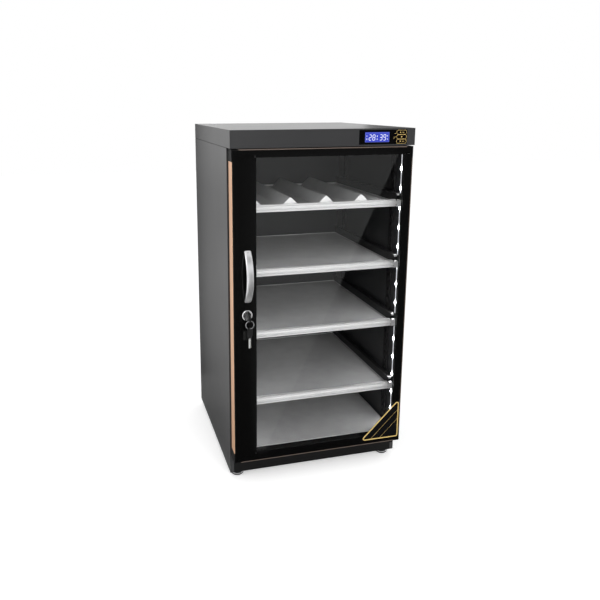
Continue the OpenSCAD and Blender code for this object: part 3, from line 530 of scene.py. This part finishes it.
# The outer face of the lock-side strip is painted bright rose and the front edges dark: painted
# light and painted shade.
second_finish(rose_strip, "X", STRIP_LIT_FACE, (0.80, 0.46, 0.27), roughness=0.34,
              metallic=0.3)
paint(["door_stile_lock", "door_stile_hinge", "door_rail_top", "door_rail_bottom"], frame_gloss)
paint(["door_corner_caps"], corner_satin)
paint(["door_edge_strips"], rose_strip)

# Door pane: 3.2 mm clear float glass in the frame's rebate. It lets the inside show and mirrors a
# little, and more at a shallow angle, by the fifth power of how far the glass turns away.
MIRROR_STRAIGHT, MIRROR_SHALLOW = 0.042, 0.9
pane, pane_tree, pane_shader = new_material("clear_pane")
set_inputs(pane_shader, {"Base Color": (0.96, 0.98, 0.97, 1), "Metallic": 1.0, "Roughness": 0.01})
grazing = add_node(pane_tree, "LayerWeight", {"Blend": 0.5})
fifth = math_node(pane_tree, "POWER", grazing.outputs["Facing"], 5.0)
mirror = math_node(pane_tree, "MULTIPLY_ADD", fifth, MIRROR_SHALLOW, MIRROR_STRAIGHT)
link(pane_tree, mirror, pane_shader.inputs["Alpha"])
paint(["door_glass"], pane)

# Door seal: a black rubber lip, extruded and pressed into the door's back, that closes the gap
# to the case.
seal_rubber = finish_material("seal_rubber", grey(0.006), 0.6, bump=0.2, specular=0.3)
paint(["door_seal"], seal_rubber)

# Handle: a bowed bar with rounded edges and a satin chrome finish, held to the lock stile by two
# zinc-plated screws from behind.
handle_chrome = finish_material("handle_satin_chrome", (0.76, 0.76, 0.77), 0.34, metallic=0.95,
                                bump=0.01, mottle=0.01, group=BRUSHED)
zinc_plate = finish_material("zinc_plate", (0.62, 0.62, 0.63), 0.35, metallic=1.0, bump=0.1)
paint(["handle_screws"], zinc_plate)
SECTION_POWER = 3.4


def arc_radius(chord, rise):
    """Radius of the arc over a chord: (chord^2 / 4 + rise^2) / (2 rise)."""
    return (chord ** 2 / 4 + rise ** 2) / (2 * rise)


def rounded_wave(wave):
    """A cosine or sine bent for a superellipse: its sign times its size to the 2 / power."""
    return np.sign(wave) * np.abs(wave) ** (2 / SECTION_POWER)


def bow(place, length, rise, thick, foot, width, stations=61, around=44):
    """A bow between an outer and an inner arc that both end on y = 0; its section is a
    superellipse across its width and thickness."""
    t = np.linspace(-1, 1, stations)[:, None]
    a = full_turn(around)
    arcs = []
    for chord, sag, start in ((length, rise, 0), (length - 2 * foot, rise - thick, thick)):
        radius = arc_radius(chord, sag)
        turn = t * math.asin((chord / 2) / radius)
        arcs.append((radius - rise + start - radius * np.cos(turn), radius * np.sin(turn)))
    (outer_y, outer_z), (inner_y, inner_z) = arcs
    share = 0.5 + 0.5 * rounded_wave(np.sin(a))
    points = point_grid(place[0] + width / 2 * rounded_wave(np.cos(a)),
                        outer_y + (inner_y - outer_y) * share,
                        place[1] + outer_z + (inner_z - outer_z) * share)
    return points, tube_faces(stations, around)


def middle_of(node):
    """The middle (x, y, z) of a node's box, in cabinet millimetres."""
    return sum(box_mm(node)) / 2


handle_shape = bow(middle_of("door_handle")[[0, 2]], length=119.6, rise=25.9, thick=5.4, foot=9.0,
                   width=15.8)
handle_bow = new_piece("handle_bow", *handle_shape, handle_chrome, "door", "chrome_parts")
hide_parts("door_handle")

# Hinges: a zinc-plated pin above and a black-coated bracket with its pin below, in black nylon
# bushes at the door's right corners.
bush_nylon = finish_material("black_nylon", grey(0.012), 0.5, bump=0.05)
paint(["hinge_pin_top"], zinc_plate)
paint(["hinge_bracket_bottom"], base_coat)
paint(["hinge_bushes"], bush_nylon)

# Cam lock: a polished bezel and barrel clamped by a nut, the plug with its slot, and the cam
# behind. The key's head is black plastic on a nickel blade; a spare hangs from it on a ring.
lock_chrome = finish_material("lock_polished_chrome", (0.82, 0.82, 0.83), 0.07, metallic=1.0,
                              bump=0.03, mottle=0.04)
plug_steel = finish_material("plug_dark_nickel", (0.30, 0.30, 0.31), 0.22, metallic=1.0, bump=0.1)
ring_steel = finish_material("key_ring_steel", (0.42, 0.42, 0.43), 0.2, metallic=1.0, bump=0.03)


def lathe(profile, x, z, around=72):
    """A closed (radius, y) profile turned all the way round the y axis through (x, z)."""
    a = full_turn(around)
    radius, depth = np.hsplit(np.asarray(profile, float), 2)
    points = point_grid(x + radius * np.cos(a), depth, z + radius * np.sin(a))
    return points, grid_faces(len(profile), around, loop_u=True, loop_v=True)


BORE_RADIUS, FACE_RADIUS, BARREL_RADIUS = 5.56, 8.3, 9.4
BARREL_BACK, BEZEL_FACE = 31.9, -1.2
RIM_MIDDLE, RIM_HALF, RIM_RISE = 10.2, 1.8, 1.3
rim_turn = np.radians(np.linspace(8, 176, 15))
rim = np.column_stack([RIM_MIDDLE - RIM_HALF * np.cos(rim_turn),
                       BEZEL_FACE - RIM_RISE * np.sin(rim_turn)])
lock_profile = [(BORE_RADIUS, BARREL_BACK), (BORE_RADIUS, BEZEL_FACE), (FACE_RADIUS, BEZEL_FACE),
                *rim, (RIM_MIDDLE + RIM_HALF, 0.0), (BARREL_RADIUS, 0.0),
                (BARREL_RADIUS, BARREL_BACK)]
lock_shape = lathe(lock_profile, *middle_of("lock_body")[[0, 2]])
lock_barrel = new_piece("lock_barrel", *lock_shape, lock_chrome, "door", "chrome_parts")
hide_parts("lock_body")
paint(["key_ring"], ring_steel)
paint(["lock_plug"], plug_steel)
paint(["lock_nut", "lock_cam"], zinc_plate)
KEY_NICKEL = (0.72, 0.72, 0.70)
for node, name, axis, blade in (("lock_key", "key_in_lock", "Y", (-4.05, 40.0)),
                                ("spare_key", "spare_key", "Z", (300.0, 364.3))):
    key_finish = finish_material(name, grey(0.006), 0.5, bump=0.1, specular=0.15)
    second_finish(key_finish, axis, blade, KEY_NICKEL, roughness=0.2, metallic=1.0)
    paint([node], key_finish)


# Corner plate: a black triangular plate in the door's lower right corner, with a gold bead round
# it and two thin gold lines across. It carries no sign.
def rounded_outline(corners, radius, steps=7):
    """A closed outline whose corners are arcs: each arc touches the sides radius / tan(half
    angle) away from the corner."""
    corners = np.asarray(corners, float)
    arcs = []
    for k, corner in enumerate(corners):
        before = corners[k - 1] - corner
        after = corners[(k + 1) % len(corners)] - corner
        before, after = before / np.linalg.norm(before), after / np.linalg.norm(after)
        half = math.acos(np.clip(before @ after, -1, 1)) / 2
        inward = (before + after) / np.linalg.norm(before + after)
        middle = corner + inward * radius / math.sin(half)
        first, last = (corner + way * radius / math.tan(half) - middle for way in (before, after))
        t = np.linspace(0, 1, steps)[:, None]
        sweep = math.pi - 2 * half
        arc = np.sin((1 - t) * sweep) * first + np.sin(t * sweep) * last
        arcs.append(middle + arc / math.sin(sweep))
    return np.concatenate(arcs)


def bead(path, width, rise, y_base, around=8):
    """A raised line round a closed (x, z) path: half an ellipse across, width wide, rise high."""
    tangent = np.roll(path, -1, axis=0) - np.roll(path, 1, axis=0)
    tangent /= np.linalg.norm(tangent, axis=1)[:, None]
    across = np.column_stack([tangent[:, 1], -tangent[:, 0]])
    t = np.linspace(0, math.pi, around)
    line = path[:, None, :] + across[:, None, :] * (width / 2 * np.cos(t))[None, :, None]
    points = point_grid(line[..., 0], y_base - rise * np.sin(t), line[..., 1])
    return points, grid_faces(len(path), around, loop_u=True, loop_v=True)


def flat_marks(outlines, y_front, y_back):
    """Thin closed plates: each (x, z) outline at two depths, joined by a wall."""
    depths = np.array([[y_front], [y_back]])
    return joined([(point_grid(outline[:, 0], depths, outline[:, 1]), tube_faces(2, len(outline)))
                   for outline in outlines])


def line_between(start, end, width):
    """The four corners of a straight line of this width between two (x, z) points."""
    start, end = np.asarray(start, float), np.asarray(end, float)
    along = (end - start) / np.linalg.norm(end - start)
    side = np.array([-along[1], along[0]]) * width / 2
    return np.array([start + side, start - side, end - side, end + side])


PLATE_INSET, PLATE_RIM, PLATE_FIELD, SUNK = 1.5, -0.8, -0.4, 0.02
TIP_INSET = 2.41 * PLATE_INSET
LINE_SHARES, LINE_END, LINE_WIDTH, LINE_RISE = (0.27, 0.52), 1.8, 0.5, 0.12
plate_gloss = finish_material("plate_gloss", (0.0045, 0.0045, 0.005), 0.12, bump=0.02,
                              specular=0.35)
gold = finish_material("gold_line", (0.80, 0.57, 0.20), 0.28, metallic=0.35, bump=0.1,
                       group=BRUSHED)
paint(["corner_plate"], plate_gloss)
(plate_left, _, plate_foot), (plate_right, _, plate_top) = box_mm("corner_plate")
plate_corners = np.array([[plate_right - PLATE_INSET, plate_foot + PLATE_INSET],
                          [plate_right - PLATE_INSET, plate_top - TIP_INSET],
                          [plate_left + TIP_INSET, plate_foot + PLATE_INSET]])
plate_bead = bead(rounded_outline(plate_corners, radius=4.0), width=2.8, rise=0.4,
                  y_base=PLATE_RIM + SUNK)
new_piece("plate_gold_bead", *plate_bead, gold, "door", "copper_trim")
thin_lines = []
for share in LINE_SHARES:
    low_end = plate_corners[2] + (plate_corners[0] - plate_corners[2]) * share + [0, LINE_END]
    high_end = plate_corners[1] + (plate_corners[0] - plate_corners[1]) * share - [LINE_END, 0]
    thin_lines.append(line_between(low_end, high_end, LINE_WIDTH))
plate_lines = flat_marks(thin_lines, PLATE_FIELD - LINE_RISE, PLATE_FIELD + SUNK)
new_piece("plate_gold_lines", *plate_lines, gold, "door", "copper_trim")

# Control head: a gloss black panel in the cap with a lit blue display and three oval push buttons
# ringed in gold, over a green board with their switches. The panel's lines and marks are printed,
# and stand about a tenth of a millimetre off it.
panel_gloss = finish_material("panel_gloss", grey(0.002), 0.1, bump=0.0, specular=0.3)
board_green = finish_material("solder_mask", (0.02, 0.10, 0.05), 0.4)
display_light = lit_material("lit_display", (0.036, 0.056, 0.52), strength=1.0,
                             dark=(0.022, 0.036, 0.42), cell_scale=45.0)
frame_light = lit_material("lit_display_frame", (0.16, 0.21, 0.72), strength=1.0,
                           dark=(0.11, 0.15, 0.62))
digit_light = lit_material("lit_digits", (0.80, 0.84, 1.0), strength=1.0, dark=(0.70, 0.74, 1.0))
paint(["control_bezel", "button_up", "button_set", "button_down"], panel_gloss)
paint(["control_board"], board_green)
paint(["lcd_module"], display_light)

SEGMENTS = {"a": ((0, 2), (1, 2)), "b": ((1, 1), (1, 2)), "c": ((1, 0), (1, 1)),
            "d": ((0, 0), (1, 0)), "e": ((0, 0), (0, 1)), "f": ((0, 1), (0, 2)),
            "g": ((0, 1), (1, 1))}
DIGITS = (("abged", 9.6), ("abcdefg", 18.2), ("abcdg", 35.6), ("abcdfg", 44.2))
DIGIT_FOOT, DIGIT_WIDTH, DIGIT_HEIGHT, DIGIT_SLANT = 5.2, 5.4, 12.0, 0.5
BAR_THICK, BAR_GAP = 1.5, 0.2
SIDE_MARKS = ((3.6, 6.0, 1.6, 3.6), (3.6, 13.4, 1.6, 2.4), (28.6, 6.0, 1.8, 2.8),
              (28.6, 12.2, 1.8, 3.4), (53.4, 6.0, 1.6, 2.6), (53.4, 13.0, 1.6, 2.8))
LCD, LCD_FRAME = np.array([307.3, 788.8]), (0.9, 0.9, 57.2, 20.2)
MARK_RISE = 0.06


def digit_bars(segments, place):
    """Seven-segment bars: each is a six-cornered line between two corners of a 1 by 2 grid."""
    bars = []
    for segment in segments:
        start, end = (place + [across * DIGIT_WIDTH + up * DIGIT_SLANT, up * DIGIT_HEIGHT / 2]
                      for across, up in SEGMENTS[segment])
        along = (end - start) / np.linalg.norm(end - start)
        side = np.array([-along[1], along[0]]) * BAR_THICK / 2
        first, last = start + along * BAR_GAP, end - along * BAR_GAP
        near, far = first + along * BAR_THICK / 2, last - along * BAR_THICK / 2
        bars.append(np.array([first, near - side, far - side, last, far + side, near + side]))
    return bars


def rectangle(x, z, width, height):
    """The corners of an upright rectangle whose lower left one is (x, z)."""
    return np.array([[x, z], [x + width, z], [x + width, z + height], [x, z + height]])


marks = [bar for segments, x in DIGITS for bar in digit_bars(segments, LCD + [x, DIGIT_FOOT])]
marks += [rectangle(*mark) + LCD for mark in SIDE_MARKS]
new_piece("display_digits", *flat_marks(marks, -MARK_RISE, SUNK), digit_light, "cabinet",
          "lcd_blue")
frame_path = rounded_outline(rectangle(*LCD_FRAME) + LCD, radius=0.8)
new_piece("display_frame_line", *bead(frame_path, width=0.9, rise=MARK_RISE, y_base=SUNK),
          frame_light, "cabinet", "lcd_blue")

BUTTON_X, PANEL_FACE = 395.9, -0.8
RING_SIZE = np.array([24.4, 9.4])
ARROW, ARROW_BACK = np.array([[-1.9, -1.2], [1.9, -1.2], [0.0, 1.6]]), 3.0
DASH_START, DASH_END, DASH_WIDTH, SQUARE_SIDE = 1.5, 6.0, 1.0, 2.6
for name, way in (("up", 1), ("set", 0), ("down", -1)):
    button = "button_" + name
    middle = np.array([BUTTON_X, middle_of(button)[2]])
    front = box_mm(button)[0][1]
    ring_path = rounded_outline(rectangle(*(middle - RING_SIZE / 2), *RING_SIZE), radius=4.4)
    ring_bead = bead(ring_path, width=0.55, rise=0.12, y_base=PANEL_FACE + SUNK)
    new_piece("button_ring_" + name, *ring_bead, gold, "cabinet", "copper_trim")
    if way:
        signs = [ARROW * way + middle - [ARROW_BACK, 0.0],
                 line_between(middle + [DASH_START, 0.0], middle + [DASH_END, 0.0], DASH_WIDTH)]
    else:
        signs = [rectangle(*(middle - SQUARE_SIDE / 2), SQUARE_SIDE, SQUARE_SIDE)]
    new_piece("button_mark_" + name, *flat_marks(signs, front - MARK_RISE, front + SUNK),
              gold, button, "button_black")
LEAD_ENDS = (((378.2, 807.5), (382.6, 809.6)), ((375.5, 800.0), (383.2, 800.6)),
             ((376.0, 796.5), (378.6, 797.8)))
leads = [line_between(start, end, width=0.45) for start, end in LEAD_ENDS]
new_piece("panel_gold_leads", *flat_marks(leads, PANEL_FACE - MARK_RISE, PANEL_FACE + SUNK),
          gold, "cabinet", "copper_trim")

# Studio: a white floor that keeps the cabinet's shadow and that the camera sees a little brighter,
# an even white surround and soft lamps.
FLOOR_SIDE, FLOOR_LIFT = 14.0, 0.38
floor_corners = rectangle(-FLOOR_SIDE / 2, -FLOOR_SIDE / 2, FLOOR_SIDE, FLOOR_SIDE)
floor_mesh = bpy.data.meshes.new("studio_floor")
floor_mesh.from_pydata([(x, y, 0.0) for x, y in floor_corners.tolist()], [], [[0, 1, 2, 3]])
floor = new_object("studio_floor", floor_mesh)
floor_white, floor_tree, floor_shader = new_material("floor_white")
set_inputs(floor_shader, {"Base Color": (*grey(0.94), 1), "Roughness": 0.9,
                          "Specular IOR Level": 0.1, "Emission Color": (*grey(1), 1)})
floor_seen = add_node(floor_tree, "LightPath").outputs["Is Camera Ray"]
link(floor_tree, math_node(floor_tree, "MULTIPLY", floor_seen, FLOOR_LIFT),
     floor_shader.inputs["Emission Strength"])
floor_mesh.materials.append(floor_white)

SURROUND = 0.72
world = bpy.data.worlds.new("studio")
bpy.context.scene.world = world
world.use_nodes = True
background = world.node_tree.nodes["Background"]
set_inputs(background, {"Color": (*grey(1), 1)})
spread = add_node(world.node_tree, "LightPath").outputs["Is Diffuse Ray"]
link(world.node_tree, math_node(world.node_tree, "MULTIPLY_ADD", spread, SURROUND - 1, 1.0),
     background.inputs["Strength"])


def soft_lamp(name, place, aim, size, power):
    """A rectangular lamp at place (mm), turned to aim (mm), of a size (m) and power (W)."""
    data = bpy.data.lights.new(name, "AREA")
    data.shape = "RECTANGLE"
    data.size, data.size_y = size
    data.energy = power
    lamp = new_object(name, data)
    lamp.location = at(place)
    lamp.rotation_euler = Vector(at(aim) - at(place)).to_track_quat("-Z", "Y").to_euler()
    return lamp


soft_lamp("key_lamp", (-1500, -1500, 2200), (215, 0, 400), (1.4, 1.4), 16)
front_lamp = soft_lamp("front_lamp", (350, -2300, 1000), (215, 200, 400), (1.0, 1.0), 28)
front_lamp.visible_glossy = False
back_lamp = soft_lamp("back_lamp", (260, 900, 1010), (215, 300, 820), (0.9, 0.25), 1.0)
back_lamp.visible_camera = False
for side, lamp_x, aim_x in (("left", 6, 400), ("right", 424, 30)):
    strip_lamp = soft_lamp("strip_lamp_" + side, (lamp_x, 50, 411), (aim_x, 200, 411),
                           (0.008, 0.70), 0.5)
    strip_lamp.visible_camera = False
    strip_lamp.visible_glossy = False

# Dark cards in front of the door, one lying and one standing far off, keep the black frame black,
# and ones behind, above and along the left side shade the cap and that side. Two paler cards in
# the shape that the pane reflects give it its slanting gloss.
DARK = 0.01


def flag(name, corners, opacity=1.0, level=DARK):
    """A studio card that only reflections see: a flat sheet of one level, over corners in mm."""
    mesh = bpy.data.meshes.new(name)
    mesh.from_pydata(at(corners).tolist(), [], [list(range(len(corners)))])
    card = new_object(name, mesh)
    for ray in ("camera", "diffuse", "transmission", "volume_scatter", "shadow"):
        setattr(card, "visible_" + ray, False)
    material, _, shader = new_material(name)
    set_inputs(shader, {"Base Color": (*grey(0), 1), "Specular IOR Level": 0.0,
                        "Emission Color": (*grey(1), 1), "Emission Strength": level,
                        "Alpha": opacity})
    mesh.materials.append(material)


def standing(x_ends, y, z_ends):
    """The corners of an upright card that faces along y."""
    (left, right), (low, high) = x_ends, z_ends
    return [(left, y, low), (right, y, low), (right, y, high), (left, y, high)]


def lying(x_ends, y_ends, z):
    """The corners of a flat card at height z."""
    (left, right), (near, far) = x_ends, y_ends
    return [(left, near, z), (right, near, z), (right, far, z), (left, far, z)]


CARD_Y, CARD_LOW = -2400.0, -CORNER[2] * 1000 + 3
flag("dark_floor_card", [(-40, -60, CARD_LOW), (520, -60, CARD_LOW), (1900, CARD_Y, CARD_LOW),
                         (430, CARD_Y, CARD_LOW)])
flag("dark_front_card", standing((430, 1900), CARD_Y, (CARD_LOW, 900)))
flag("side_card_wide", lying((-4, -260), (-60, 1700), CARD_LOW + 2.6), opacity=0.35)
flag("side_card_near", lying((-4, -130), (-60, 1700), CARD_LOW + 1.3), opacity=0.45)
flag("side_card_back", standing((-2, -75), 640, (CARD_LOW, 950)), opacity=0.8)
flag("dark_back_card", standing((60, 2200), 1900, (CARD_LOW, 2600)), opacity=0.72)
flag("dark_top_card", lying((-500, 1500), (-850, -1900), 1900), opacity=0.8)

# The gloss reaches from the pane's left edge to a slanting line: GLOSS_ENDS are that line's x at
# the pane's foot and top, whose heights are PANE_ENDS.
PANE_FACE, CARD_CLEAR, FOLD_CLEAR = 3.0, 1.5, 0.5
PANE_LEFT, PANE_ENDS, GLOSS_ENDS, PANE_GLOSS = 54.7, (67.0, 763.0), (80.0, 394.0), 0.30


def mirrored(points):
    """Where rays from the camera, mirrored at the pane's (x, z) points, meet the two dark cards."""
    places = []
    for x, z in points:
        ray = np.array([x, PANE_FACE, z]) - CAMERA_MM
        ray[1] = -ray[1]
        to_card = (CARD_Y + CARD_CLEAR - PANE_FACE) / ray[1]
        to_floor = (CARD_LOW + CARD_CLEAR - z) / ray[2] if ray[2] < 0 else math.inf
        places.append(np.array([x, PANE_FACE, z]) + ray * min(to_card, to_floor))
    return places


# way_back is the mirrored way to the standing card over the camera's way to the pane, both along
# y. Below the height fold_z the pane mirrors the lying card, and above it the standing one.
way_back = (CARD_Y + CARD_CLEAR - PANE_FACE) / (CAMERA_MM[1] - PANE_FACE)
fold_z = (CARD_LOW + CARD_CLEAR + way_back * CAMERA_MM[2]) / (1 + way_back)
fold_x = np.interp(fold_z, PANE_ENDS, GLOSS_ENDS)
for name, (low_x, low_z), (high_x, high_z) in (
        ("gloss_floor_card", (GLOSS_ENDS[0], PANE_ENDS[0]), (fold_x, fold_z - FOLD_CLEAR)),
        ("gloss_front_card", (fold_x, fold_z + FOLD_CLEAR), (GLOSS_ENDS[1], PANE_ENDS[1]))):
    flag(name, mirrored([(PANE_LEFT, low_z), (low_x, low_z), (high_x, high_z),
                         (PANE_LEFT, high_z)]), level=PANE_GLOSS)

bpy.context.scene.view_settings.view_transform = "Standard"
